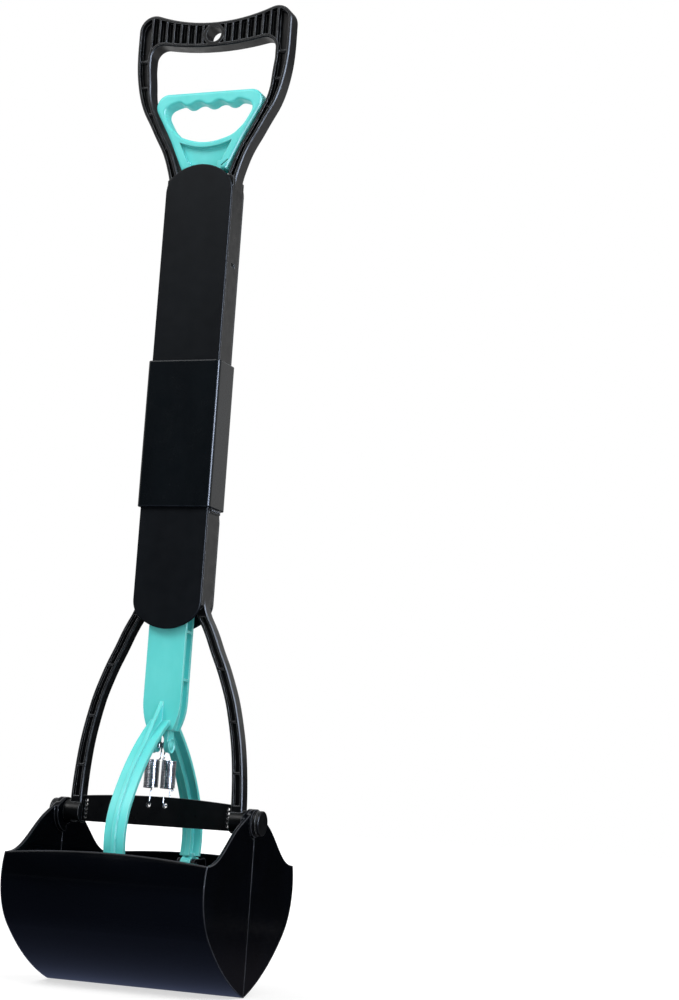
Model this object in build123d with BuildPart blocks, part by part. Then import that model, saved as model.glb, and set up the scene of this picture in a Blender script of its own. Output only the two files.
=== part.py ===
from build123d import *
import os
from math import asin, cos, degrees, pi, radians, sin, sqrt, tan

os.makedirs("parts", exist_ok=True)

# Pet waste scooper: a handle that folds in the middle, a pull handle and bar running
# inside it, and two sprung jaws at the foot.
# Z runs up the handle from the closed lips, X is the direction of the jaws' hinge, and
# -Y is the front. Lengths are in millimetres and angles in degrees.

# Hollow body, made of two rails and a web behind, closed by a cover on each side
body_width = 53.0
body_depth = 23.0
cover_thickness = 2.2
rail_width = 10.5
web_thickness = 2.0
rail_chamfer = 2.6
cover_corner_radius = 17.0
cover_corner_turn = 50.0
cover_edge_radius = 0.8
peg_radius = 1.9
peg_length = 5.0
peg_clearance = 0.1
guide_rib_width = 1.6
guide_rib_place = 9.0
guide_rib_clearance = 0.3
lower_peg_share = 0.62

# Heights above the closed lips, and how far each cover's tip is from them
fold_height = 343.0
total_height = 711.0
pivot_height = 117.0
lower_cover_length = 95.0
upper_cover_drop = 121.0

# Fold in the middle of the body
fold_depth = 6.5
fold_range = 150.0
fold_gap = 0.25
fold_pin_radius = 1.5
fold_knuckle_radius = 3.9
knuckle_clearance = 0.3
pin_clearance = 0.08
overrun = 1.0

# Lock sleeve round the fold
sleeve_width = 57.0
sleeve_depth = 28.2
sleeve_length = 107.0
sleeve_lap = 8.0
sleeve_clearance_x = 0.5
sleeve_clearance_y = 0.9
sleeve_corner_radius = 3.0
sleeve_inner_radius = 1.4
sleeve_edge_radius = 0.6
ledge_height = 2.8
ledge_stand_off = 1.3
ledge_gap = 0.4
ledge_depth = 16.0
notch_drop = 75.0
notch_length = 7.0
notch_width = 3.0
notch_depth = 1.2

# D-shaped handle
handle_width = 124.0
handle_depth = 13.0
handle_foot_drop = 140.0
handle_root_width = 8.0
handle_corner_radius = 12.0
handle_edge_chamfer = 0.8
grip_sag = 9.0
grip_height = 19.0
grip_lower_rise = 6.0
opening_half_width = 50.5
opening_corner_radius = 9.0
handle_side_drop = 25.0
opening_side_drop = 39.0
handle_outer_shares = ((0.156, 0.218), (0.506, 0.427), (0.80, 0.60), (0.955, 0.79))
handle_inner_shares = ((0.216, 0.272), (0.619, 0.518), (0.891, 0.713), (0.975, 0.916))
handle_rim = 2.3
handle_channel_depth = 4.4
grip_rib_count = 18
grip_rib_pitch = 6.0
grip_rib_width = 1.3
handle_tie_drops = (105.0, 77.0, 56.0, 35.0)
tie_width = 1.3
tie_recess = 2.4
hang_hole_radius = 6.0
hang_boss_radius = 8.4
hang_hole_drop = 18.5

# Arms that carry the jaws
arm_depth = 9.6
arm_start_lap = 24.0
arm_root_width = 8.0
arm_side_gap = 8.6
arm_end_width = 8.6
arm_end = 109.0
arm_end_radius = 3.6
arm_edge_chamfer = 0.7
arm_outer_shares = ((0.30, 0.20), (0.56, 0.35), (0.76, 0.50), (0.93, 0.72))
arm_inner_shares = ((0.329, 0.217), (0.592, 0.367), (0.785, 0.511), (0.944, 0.727))
arm_rim = 1.9
arm_channel_depth = 2.7
arm_channel_foot = 128.0
arm_channel_lap = 10.0
arm_tie_shares = (0.17, 0.44, 0.72)
arm_boss_radius = 8.0
arm_boss_stand_off = 3.4
rail_foot_lap = 15.0

# Plate between the arm ends, with the two lower spring holes
crossbar_thickness = 3.0
crossbar_foot = 110.5
crossbar_height = 18.0
crossbar_rise = 2.4
crossbar_tab = 1.5
crossbar_slot_clearance = 0.1
spring_hole_radius = 1.7
spring_hole_drop = 6.0
relief_hole_radius = 1.1
relief_hole_pitch = 2.9
relief_hole_count = 5
relief_hole_inset = 3.0

# Jaws
jaw_half_width = 75.1
jaw_wall = 2.2
jaw_half_depth = 75.0
jaw_top = 88.0
jaw_rim_rise = 4.0
jaw_knee_depth = 64.0
jaw_knee_height = 39.5
jaw_floor_depth = 36.0
jaw_floor_height = 17.0
seam_half_gap = 0.16
ear_radius = 9.6
ear_shares = ((0.62, 0.27), (0.37, 0.63))
ear_touch_angle = 60.0
ear_plate = 2.4
ear_gap = 0.3
ear_relief_radius = 10.5
ear_joggle_radius = 14.8
ear_pad = 0.8
pivot_pin_radius = 3.0
pivot_head_radius = 8.6
pivot_head_thickness = 1.9
pivot_head_edge_radius = 0.7
pivot_neck_radius = 7.4
pivot_neck_thickness = 0.8
pivot_pin_socket = 7.0

# Lugs inside the jaws, and the pins that the fork pulls on
lug_reach = 57.0
lug_height = 84.0
lug_radius = 4.3
lug_thickness = 2.6
lug_pin_radius = 1.5
lug_slot_clearance = 0.55
lug_side_gap = 0.5
tongue_width = 7.6
tongue_wall = 3.0

# Pull bars and fork
bar_width = 29.0
bar_depth = 12.5
bar_plate = 2.4
bar_core_width = 21.0
bar_rib_pitch = 34.0
bar_rib_rise = 15.0
bar_rib_width = 1.6
bar_waist_height = 198.0
bar_foot_width = 19.0
bar_foot = 177.0
pull_travel = 26.0
bar_knuckle_radius = 2.6
link_pin_radius = 1.25
link_knuckle_width = 10.0
link_total_width = 24.0
prong_width = 15.0
prong_flange = 2.8
prong_rib_width = 3.6
prong_rib_depth = 5.0
prong_ridge_width = 2.6
prong_ridge_height = 1.4
prong_root_height = 184.0
prong_crown_depth = 36.0
prong_crown_height = 157.5
prong_knee_depth = 57.5
prong_knee_height = 126.0
prong_end_depth = 62.0
prong_end_height = 90.0
fin_top = 197.0
fin_foot_depth = 34.0
prong_root_push = (0.7, 0.7)
prong_crown_push = (0.72, 0.69)
prong_knee_push = (0.9, 0.44)
hanger_height = 166.5
hanger_radius = 4.8
hanger_thickness = 3.0
hanger_inner_gap = 6.4
hanger_pin_radius = 1.5

# Pull handle
pull_top_drop = 63.0
pull_corner_half_width = 49.4
pull_corner_radius = 9.5
pull_waist_half_width = 29.5
pull_waist_drop = 99.0
pull_waist_radius = 40.0
pull_shoulder_half_width = 18.0
pull_shoulder_drop = 124.0
pull_depth = 13.0
pull_neck_half_width = 13.5
pull_foot_drop = 155.0
pull_bar_band = 10.2
finger_count = 4
finger_pitch = 17.0
finger_rise = 2.8
opening_side = 35.2
opening_side_rise = 24.5
opening_waist_shares = ((0.925, 0.735), (0.79, 0.45), (0.534, 0.163))
finger_opening_drop = 102.0
pull_pocket_depth = 3.6
pull_pocket_wall = 6.5
pull_pocket_neck_wall = 2.5
pull_pocket_bead = 4.2
pull_pocket_foot_drop = 134.0
pull_edge_radius = 2.6
finger_edge_radius = 1.6
slit_place = 16.5
slit_drop = 119.0
slit_length = 7.0
slit_width = 1.1
slit_angle = 42.0
tenon_half_thickness = 2.1
tenon_half_width = 9.0
tenon_length = 26.0
tenon_gap = 0.2
rivet_radius = 1.8

# Extension springs
wire_radius = 0.55
coil_radius = 4.6
coil_pitch = 1.6
coil_turns = 12.75
coil_foot = 137.0
spring_spacing = 12.8
hook_radius_lower = 2.6
hook_radius_upper = 2.2
hook_tail = 1.8
upper_hook_place = 1.25
lower_leg_head = 131.0
upper_leg_foot = 161.0
coil_start_turn = 0.5
coil_steps_per_turn = 4

# Places and sizes that follow from the ones above
lower_cover_tip = fold_height - lower_cover_length
upper_cover_tip = total_height - upper_cover_drop
notch_height = upper_cover_tip - notch_drop
handle_foot = total_height - handle_foot_drop
handle_side_height = total_height - handle_side_drop
opening_side_height = total_height - opening_side_drop
hang_hole_height = total_height - hang_hole_drop
arm_start = lower_cover_tip + arm_start_lap
rail_foot = lower_cover_tip + rail_foot_lap
arm_channel_head = lower_cover_tip + arm_channel_lap
arm_end_half_width = jaw_half_width - arm_side_gap
pull_top = total_height - pull_top_drop
pull_waist_height = total_height - pull_waist_drop
pull_shoulder_height = total_height - pull_shoulder_drop
pull_foot = total_height - pull_foot_drop
finger_opening_foot = total_height - finger_opening_drop
pull_pocket_foot = total_height - pull_pocket_foot_drop
half_body = body_width / 2
half_depth = body_depth / 2
rail_depth = half_depth - cover_thickness
rail_inner = half_body - rail_width
rail_middle = half_body - rail_width / 2
fold_bevel = (180 - fold_range) / 2
bevel_length = (half_depth + overrun - fold_depth) / tan(radians(fold_bevel))
rail_split = (rail_inner + half_body) / 2
sleeve_foot = fold_height - sleeve_lap
arm_end_inner = arm_end_half_width - arm_end_width
ear_inner = jaw_half_width - jaw_wall - ear_gap - ear_plate
ear_outer = jaw_half_width + ear_pad
head_inner = ear_outer + ear_gap
lug_radius_arm = sqrt(lug_reach ** 2 + (pivot_height - lug_height) ** 2)
lug_angle = asin((pivot_height - lug_height) / lug_radius_arm)
lug_rise_angle = asin((pull_travel - (pivot_height - lug_height)) / lug_radius_arm)
jaw_opening = degrees(lug_angle + lug_rise_angle)
slot_travel = lug_radius_arm - lug_reach
slot_half_height = lug_pin_radius + lug_slot_clearance
spring_hole_height = crossbar_foot + crossbar_height + crossbar_rise - spring_hole_drop
spring_hole_place = spring_spacing / 2
bar_face = bar_depth / 2
bar_head = fold_height - fold_gap
knuckle_root = 2 * bar_knuckle_radius
parallel_limit = 1e-9
height_tolerance = pull_waist_height * 1e-5
print("jaw opening", round(jaw_opening, 2), "degrees over", pull_travel, "mm of pull")
print("jaw ratio", round(radians(jaw_opening) / (pull_travel / 1000), 3), "rad/m")


def xz_at(depth):
    return Plane.XZ.offset(-depth)


# Two arcs that join smoothly, from one point and direction to another
def biarc(start, start_way, end, end_way):
    across = end - start
    both = start_way + end_way
    a = 2 * (1 - start_way.dot(end_way))
    b = across.dot(both)
    if a < parallel_limit:
        reach = across.dot(across) / (4 * across.dot(end_way))
    else:
        reach = (-b + sqrt(b * b + a * across.dot(across))) / a
    middle = (start + end + (start_way - end_way) * reach) * 0.5
    first = Edge.make_tangent_arc(start, start_way, middle)
    return [first, Edge.make_tangent_arc(middle, first % 1, end)]


# Outline through points as smooth arcs, which turn at each point towards its two neighbours
def arc_outline(points, start_way, end_way):
    places = [Vector(*point) for point in points]
    ways = [Vector(*start_way)]
    for before, after in zip(places, places[2:]):
        ways.append((after - before).normalized())
    ways.append(Vector(*end_way))
    for place in range(len(places) - 1):
        for edge in biarc(places[place], ways[place], places[place + 1], ways[place + 1]):
            add(edge)


def save(piece, name, colour):
    piece.label = name
    piece.color = Color(*colour)
    export_step(piece, "parts/" + name + ".step")


black = (0.05, 0.05, 0.06)
teal = (0.25, 0.78, 0.74)
steel = (0.7, 0.71, 0.73)


# Front view of a cover: square at the fold, and rounded at its tip by two corner arcs
# that run smoothly into one wide arc
def cover_face(tip, joint):
    way = 1 if joint > tip else -1
    turn = radians(cover_corner_turn)
    across = half_body - cover_corner_radius
    crown_radius = cover_corner_radius + across / cos(turn)
    rise = crown_radius * (1 - sin(turn)) + cover_corner_radius * sin(turn)
    centre = tip + way * rise

    def on_corner(side, angle):
        return (side * (across + cover_corner_radius * cos(angle)),
                centre - way * cover_corner_radius * sin(angle))

    with BuildLine() as outline:
        Line((half_body, joint), (half_body, centre))
        ThreePointArc(on_corner(1, 0), on_corner(1, turn / 2), on_corner(1, turn))
        ThreePointArc(on_corner(1, turn), (0, tip), on_corner(-1, turn))
        ThreePointArc(on_corner(-1, turn), on_corner(-1, turn / 2), on_corner(-1, 0))
        Line((-half_body, centre), (-half_body, joint))
        Line((-half_body, joint), (half_body, joint))
    make_face(outline.edges())


# Side view of the wedge that is cut away behind the fold, so that the halves can fold flat
def fold_wedge(way):
    tip = fold_height
    slope = bevel_length
    with BuildLine() as outline:
        Polyline((fold_depth, tip - way * overrun), (fold_depth, tip),
                 (half_depth + overrun, tip + way * slope),
                 (half_depth + overrun, tip - way * overrun), close=True)
    make_face(outline.edges())


def pegs_at(heights, front):
    face = -rail_depth if front else rail_depth
    return [(side * rail_middle, face, height) for side in (-1, 1) for height in heights]


lower_peg_heights = (lower_cover_tip + body_width * lower_peg_share, fold_height - bevel_length - peg_length)
upper_peg_heights = (fold_height + bevel_length + 2 * peg_length,
                     (fold_height + upper_cover_tip) / 2, handle_foot - 2 * peg_length)


def cover(name, tip, front, peg_heights):
    way = 1 if tip < fold_height else -1
    joint = fold_height - way * fold_gap
    outer = -half_depth if front else half_depth
    inner = -rail_depth if front else rail_depth
    with BuildPart() as plate:
        with BuildSketch(xz_at(max(outer, inner))):
            cover_face(tip, joint)
        extrude(amount=cover_thickness)
        fillet(plate.faces().sort_by(Axis.Y)[0 if front else -1].edges(), cover_edge_radius)
        if not front:
            with BuildSketch(Plane.YZ):
                fold_wedge(-way)
            extrude(amount=body_width, both=True, mode=Mode.SUBTRACT)
        for place in pegs_at(peg_heights, front):
            with BuildSketch(xz_at(inner)):
                with Locations((place[0], place[2])):
                    Circle(peg_radius)
            extrude(amount=-peg_length if front else peg_length)
        if front:
            rib_top = -bar_face - guide_rib_clearance
            rib_length = abs(joint - tip) - body_width
            with BuildSketch(xz_at(rib_top)):
                with Locations((0, joint - way * rib_length / 2)):
                    with GridLocations(2 * guide_rib_place, 1, 2, 1):
                        Rectangle(guide_rib_width, rib_length)
            extrude(amount=rail_depth + rib_top)
    save(plate.part, name, black)
    return plate.part


lower_front_cover = cover("lower_front_cover", lower_cover_tip, True, lower_peg_heights)
lower_back_cover = cover("lower_back_cover", lower_cover_tip, False, lower_peg_heights)
upper_front_cover = cover("upper_front_cover", upper_cover_tip, True, upper_peg_heights)
upper_back_cover = cover("upper_back_cover", upper_cover_tip, False, upper_peg_heights)


# Cuts and knuckles that both halves of the body share at the fold: way is 1 for the upper
# half, whose knuckles are the outer ones, and -1 for the lower half
def cut_fold(way):
    with BuildSketch(Plane.YZ) as profile:
        fold_wedge(way)
    extrude(profile.sketch, amount=body_width, both=True, mode=Mode.SUBTRACT)
    for side in (-1, 1):
        inner, outer = (rail_inner, rail_split) if way > 0 else (rail_split, half_body)
        start = min(side * (inner - knuckle_clearance), side * (outer + knuckle_clearance))
        with BuildSketch(Plane.YZ.offset(start)) as profile:
            with Locations((fold_depth, fold_height)):
                Circle(fold_knuckle_radius + knuckle_clearance)
        extrude(profile.sketch, amount=outer - inner + 2 * knuckle_clearance, mode=Mode.SUBTRACT)
    for side in (-1, 1):
        inner, outer = (rail_split, half_body) if way > 0 else (rail_inner, rail_split)
        inner = inner + (knuckle_clearance if way > 0 else 0)
        outer = outer - (knuckle_clearance if way < 0 else 0)
        start = min(side * inner, side * outer)
        with BuildSketch(Plane.YZ.offset(start)) as profile:
            with Locations((fold_depth, fold_height)):
                Circle(fold_knuckle_radius)
        extrude(profile.sketch, amount=outer - inner)
    with BuildSketch(Plane.YZ) as profile:
        with Locations((fold_depth, fold_height)):
            Circle(fold_pin_radius + pin_clearance)
    extrude(profile.sketch, amount=body_width, both=True, mode=Mode.SUBTRACT)


def rails(foot, head, chamfered_end):
    with BuildSketch(xz_at(rail_depth)) as profile:
        with BuildLine():
            tip = head if chamfered_end > 0 else foot
            flat = foot if chamfered_end > 0 else head
            Polyline((rail_inner, flat), (half_body, flat),
                     (half_body, tip - chamfered_end * rail_chamfer),
                     (half_body - rail_chamfer, tip), (rail_inner, tip), close=True)
        make_face()
        mirror(about=Plane.YZ)
    extrude(profile.sketch, amount=2 * rail_depth)


def peg_holes(heights):
    for front in (True, False):
        face = -rail_depth if front else rail_depth
        with BuildSketch(xz_at(face)) as profile:
            with Locations(*[(place[0], place[2]) for place in pegs_at(heights, front)]):
                Circle(peg_radius + peg_clearance)
        depth = peg_length + peg_clearance
        extrude(profile.sketch, amount=-depth if front else depth, mode=Mode.SUBTRACT)


# Front view of the D-shaped handle, from its feet in the body up
def handle_ring():
    corner_x = handle_width / 2 - handle_corner_radius
    corner_z = total_height - handle_corner_radius
    sag = total_height - grip_sag
    lift = sag - corner_z
    sag_radius = (corner_x ** 2 + lift ** 2 - handle_corner_radius ** 2) / (
        2 * (handle_corner_radius - lift))
    reach = sag_radius + handle_corner_radius
    meet = (corner_x - handle_corner_radius * corner_x / reach,
            corner_z + handle_corner_radius * (sag + sag_radius - corner_z) / reach)
    corner_angle = (pi / 2 + asin(corner_x / reach)) / 2
    corner_mid = (corner_x + handle_corner_radius * cos(corner_angle),
                  corner_z + handle_corner_radius * sin(corner_angle))
    spread = handle_width / 2 - half_body
    climb = handle_side_height - handle_foot
    outer = [(half_body + x * spread, handle_foot + z * climb) for x, z in handle_outer_shares]
    root = half_body - handle_root_width
    inner_spread = opening_half_width - root
    inner_climb = opening_side_height - handle_foot
    inner = [(root + x * inner_spread, handle_foot + z * inner_climb)
             for x, z in handle_inner_shares]
    grip_foot = sag - grip_height
    with BuildLine() as outline:
        ThreePointArc((-meet[0], meet[1]), (0, sag), meet)
        for side in (-1, 1):
            ThreePointArc((side * meet[0], meet[1]), (side * corner_mid[0], corner_mid[1]),
                          (side * handle_width / 2, corner_z))
            Line((side * handle_width / 2, corner_z), (side * handle_width / 2, handle_side_height))
            arc_outline([(side * half_body, handle_foot)]
                        + [(side * x, z) for x, z in outer]
                        + [(side * handle_width / 2, handle_side_height)], (0, 1), (0, 1))
        Line((-half_body, handle_foot), (half_body, handle_foot))
    make_face(outline.edges())
    with BuildSketch(mode=Mode.PRIVATE) as opening:
        with BuildLine():
            ThreePointArc((-opening_half_width, grip_foot + grip_lower_rise), (0, grip_foot),
                          (opening_half_width, grip_foot + grip_lower_rise))
            for side in (-1, 1):
                Line((side * opening_half_width, grip_foot + grip_lower_rise),
                     (side * opening_half_width, opening_side_height))
                arc_outline([(side * root, handle_foot)]
                            + [(side * x, z) for x, z in inner]
                            + [(side * opening_half_width, opening_side_height)], (0, 1), (0, 1))
                Line((side * root, handle_foot), (side * root, handle_foot - overrun))
            Line((-root, handle_foot - overrun), (root, handle_foot - overrun))
        make_face()
        fillet(opening.vertices().group_by(Axis.Y)[-1], opening_corner_radius)
    add(opening.sketch, mode=Mode.SUBTRACT)


# Upper half of the frame: D-shaped handle, rails and web in one moulding
with BuildPart() as handle_frame:
    with BuildSketch(xz_at(handle_depth / 2)):
        handle_ring()
    extrude(amount=handle_depth)
    for face in handle_frame.faces().filter_by(Axis.Y):
        chamfer(face.edges().filter_by(lambda e: e.center().Z > handle_foot + overrun),
                handle_edge_chamfer)
    rails(fold_height + fold_gap, handle_foot + rail_width, 1)
    window_head = fold_height + pull_travel + 2 * bar_knuckle_radius
    with BuildSketch(xz_at(rail_depth)):
        web_head = handle_foot - rail_chamfer
        with Locations((0, (window_head + web_head) / 2)):
            Rectangle(2 * rail_inner + overrun, web_head - window_head)
    extrude(amount=web_thickness)
    cut_fold(1)
    peg_holes(upper_peg_heights)
    for side in (-1, 1):
        with BuildSketch(Plane.YZ.offset(side * half_body)):
            with Locations((0, notch_height)):
                Rectangle(notch_length, notch_width)
        extrude(amount=-side * notch_depth, mode=Mode.SUBTRACT)
    for front in (True, False):
        for depth, ties in ((tie_recess, False), (handle_channel_depth, True)):
            face = -handle_depth / 2 if front else handle_depth / 2
            with BuildSketch(xz_at(face)) as channel:
                handle_ring()
                offset(amount=-handle_rim, mode=Mode.REPLACE)
                with Locations((0, handle_foot)):
                    Rectangle(handle_width, 2 * rail_width, mode=Mode.SUBTRACT)
                with Locations((0, hang_hole_height)):
                    with GridLocations(grip_rib_pitch, 1, grip_rib_count, 1):
                        Rectangle(grip_rib_width, 2 * grip_height, mode=Mode.SUBTRACT)
                    Circle(hang_boss_radius, mode=Mode.SUBTRACT)
                for drop in handle_tie_drops if ties else ():
                    with Locations((0, total_height - drop)):
                        Rectangle(handle_width, tie_width, mode=Mode.SUBTRACT)
            extrude(amount=-depth if front else depth, mode=Mode.SUBTRACT)
    with BuildSketch(Plane.XZ):
        with Locations((0, hang_hole_height)):
            Circle(hang_hole_radius)
    extrude(amount=handle_depth, both=True, mode=Mode.SUBTRACT)
save(handle_frame.part, "handle_frame", black)


# Front view of the two lower arms
def arm_faces():
    spread = arm_end_half_width - half_body
    drop = arm_start - pivot_height
    outer = [(half_body + x * spread, arm_start - z * drop) for x, z in arm_outer_shares]
    root = half_body - arm_root_width
    inner_spread = arm_end_inner - root
    inner = [(root + x * inner_spread, arm_start - z * drop) for x, z in arm_inner_shares]
    with BuildLine() as outline:
        Line((root, arm_start), (half_body, arm_start))
        arc_outline([(half_body, arm_start)] + outer + [(arm_end_half_width, pivot_height)],
                    (0, -1), (0, -1))
        Line((arm_end_half_width, pivot_height), (arm_end_half_width, arm_end))
        Line((arm_end_half_width, arm_end), (arm_end_inner, arm_end))
        Line((arm_end_inner, arm_end), (arm_end_inner, pivot_height))
        arc_outline([(root, arm_start)] + inner + [(arm_end_inner, pivot_height)],
                    (0, -1), (0, -1))
    make_face(outline.edges())
    mirror(about=Plane.YZ)


# Lower half of the frame: rails, web, arms and the bosses of the jaws' hinge
with BuildPart() as lower_frame:
    with BuildSketch(xz_at(arm_depth / 2)) as arms:
        arm_faces()
        fillet(arms.vertices().group_by(Axis.Y)[0], arm_end_radius)
    extrude(amount=arm_depth)
    for face in lower_frame.faces().filter_by(Axis.Y):
        chamfer(face.edges().filter_by(lambda e: e.center().Z < arm_start - overrun),
                arm_edge_chamfer)
    rails(rail_foot, fold_height - fold_gap, -1)
    with BuildSketch(xz_at(rail_depth)):
        with Locations((0, (rail_foot + fold_height - fold_gap) / 2)):
            Rectangle(2 * rail_inner + overrun, fold_height - fold_gap - rail_foot)
    extrude(amount=web_thickness)
    cut_fold(-1)
    peg_holes(lower_peg_heights)
    for side in (-1, 1):
        with BuildSketch(Plane.YZ.offset(side * half_body)):
            with Locations((0, sleeve_foot - ledge_gap - ledge_height / 2)):
                Rectangle(ledge_depth, ledge_height)
        extrude(amount=side * ledge_stand_off)
        with BuildSketch(Plane.YZ.offset(side * arm_end_inner)):
            with Locations((0, pivot_height)):
                Circle(arm_boss_radius)
        extrude(amount=side * (arm_end_width + arm_boss_stand_off))
        with BuildSketch(Plane.YZ.offset(side * (arm_end_half_width + arm_boss_stand_off))):
            with Locations((0, pivot_height)):
                Circle(pivot_pin_radius + pin_clearance)
        extrude(amount=-side * (arm_boss_stand_off + pivot_pin_socket), mode=Mode.SUBTRACT)
        with BuildSketch(Plane.YZ.offset(side * (arm_end_inner - crossbar_tab))):
            with Locations((0, crossbar_foot + crossbar_height / 2)):
                Rectangle(crossbar_thickness + 2 * crossbar_slot_clearance,
                          crossbar_height + 2 * crossbar_slot_clearance)
        extrude(amount=side * (2 * crossbar_tab + crossbar_slot_clearance), mode=Mode.SUBTRACT)
    for front in (True, False):
        face = -arm_depth / 2 if front else arm_depth / 2
        with BuildSketch(xz_at(face)):
            arm_faces()
            offset(amount=-arm_rim, mode=Mode.REPLACE)
            with Locations((0, (arm_channel_foot + arm_channel_head) / 2)):
                Rectangle(2 * arm_end_half_width, arm_channel_head - arm_channel_foot,
                          mode=Mode.INTERSECT)
            for share in arm_tie_shares:
                with Locations((0, arm_channel_foot + share * (arm_channel_head - arm_channel_foot))):
                    Rectangle(2 * arm_end_half_width, tie_width, mode=Mode.SUBTRACT)
        depth = arm_channel_depth
        extrude(amount=-depth if front else depth, mode=Mode.SUBTRACT)
save(lower_frame.part, "lower_frame", black)

with BuildPart() as crossbar:
    crossbar_half = arm_end_inner + crossbar_tab
    shoulder = arm_end_inner - crossbar_slot_clearance
    crossbar_head = crossbar_foot + crossbar_height
    with BuildSketch(xz_at(crossbar_thickness / 2)):
        with BuildLine():
            Line((-crossbar_half, crossbar_foot), (crossbar_half, crossbar_foot))
            Line((crossbar_half, crossbar_foot), (crossbar_half, crossbar_head))
            Line((crossbar_half, crossbar_head), (shoulder, crossbar_head))
            ThreePointArc((shoulder, crossbar_head), (0, crossbar_head + crossbar_rise),
                          (-shoulder, crossbar_head))
            Line((-shoulder, crossbar_head), (-crossbar_half, crossbar_head))
            Line((-crossbar_half, crossbar_head), (-crossbar_half, crossbar_foot))
        make_face()
        with Locations((-spring_hole_place, spring_hole_height),
                       (spring_hole_place, spring_hole_height)):
            Circle(spring_hole_radius, mode=Mode.SUBTRACT)
        with Locations((0, crossbar_foot + crossbar_height / 2)):
            with GridLocations(2 * (arm_end_inner - relief_hole_inset), relief_hole_pitch,
                               2, relief_hole_count):
                Circle(relief_hole_radius, mode=Mode.SUBTRACT)
    extrude(amount=crossbar_thickness)
save(crossbar.part, "crossbar", black)

for side, name in ((-1, "left_pivot_pin"), (1, "right_pivot_pin")):
    with BuildPart() as pivot_pin:
        pin_start = arm_end_half_width - pivot_pin_socket + overrun / 2
        with BuildSketch(Plane.YZ.offset(side * pin_start)):
            with Locations((0, pivot_height)):
                Circle(pivot_pin_radius)
        extrude(amount=side * (head_inner - pin_start + pivot_head_thickness / 2))
        with BuildSketch(Plane.YZ.offset(side * head_inner)):
            with Locations((0, pivot_height)):
                Circle(pivot_head_radius)
        extrude(amount=side * pivot_head_thickness)
        with BuildSketch(Plane.YZ.offset(side * (head_inner + pivot_head_thickness))):
            with Locations((0, pivot_height)):
                Circle(pivot_neck_radius)
        extrude(amount=side * pivot_neck_thickness)
        with BuildSketch(Plane.YZ.offset(side * (head_inner + pivot_head_thickness + pivot_neck_thickness))):
            with Locations((0, pivot_height)):
                Circle(pivot_head_radius)
        extrude(amount=side * pivot_head_thickness)
        fillet(pivot_pin.faces().sort_by(Axis.X)[-1 if side > 0 else 0].edges(),
               pivot_head_edge_radius)
    save(pivot_pin.part, name, black)

for side, name in ((-1, "left_fold_pin"), (1, "right_fold_pin")):
    with BuildPart() as fold_pin:
        with BuildSketch(Plane.YZ.offset(side * rail_inner)):
            with Locations((fold_depth, fold_height)):
                Circle(fold_pin_radius)
        extrude(amount=side * (rail_width - pin_clearance))
    save(fold_pin.part, name, steel)

with BuildPart() as lock_sleeve:
    with BuildSketch(Plane.XY.offset(sleeve_foot)):
        RectangleRounded(sleeve_width, sleeve_depth, sleeve_corner_radius)
        RectangleRounded(body_width + 2 * sleeve_clearance_x, body_depth + 2 * sleeve_clearance_y,
                         sleeve_inner_radius, mode=Mode.SUBTRACT)
    extrude(amount=sleeve_length)
    for face in lock_sleeve.faces().filter_by(Axis.Z):
        fillet(face.outer_wire().edges(), sleeve_edge_radius)
save(lock_sleeve.part, "lock_sleeve", black)


# Side view of a jaw's outer curve, from the lip up past the rim, as edges of the open line
def jaw_curve(way, extension):
    lip = Vector(way * seam_half_gap, 0)
    knee = Vector(way * jaw_knee_depth, jaw_knee_height)
    rim = Vector(way * jaw_half_depth, jaw_top)
    floor = ThreePointArc(lip, (way * jaw_floor_depth, jaw_floor_height), knee)
    wall = TangentArc(knee, rim, tangent=floor % 1)
    start = lip - (floor % 0) * extension
    end = rim + (wall % 1) * extension
    return floor, wall, start, end


# Side view of the whole jaw with its ear: the rim, the bell-shaped flank and the round eye
def jaw_side(way):
    eye = Vector(0, pivot_height)
    angle = radians(ear_touch_angle)
    touch = eye + Vector(way * cos(angle), sin(angle)) * ear_radius
    rim = Vector(way * jaw_half_depth, jaw_top)
    across = rim.X - touch.X
    climb = touch.Y - rim.Y
    flank = [(touch.X + x * across, rim.Y + z * climb) for x, z in ear_shares]
    with BuildLine() as outline:
        jaw_curve(way, 0)
        Spline([rim] + flank + [touch],
               tangents=((-way, 0), (-way * sin(angle), cos(angle))))
        Line(touch, (way * seam_half_gap, touch.Y))
        Line((way * seam_half_gap, touch.Y), (way * seam_half_gap, 0))
    make_face(outline.edges())


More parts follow.
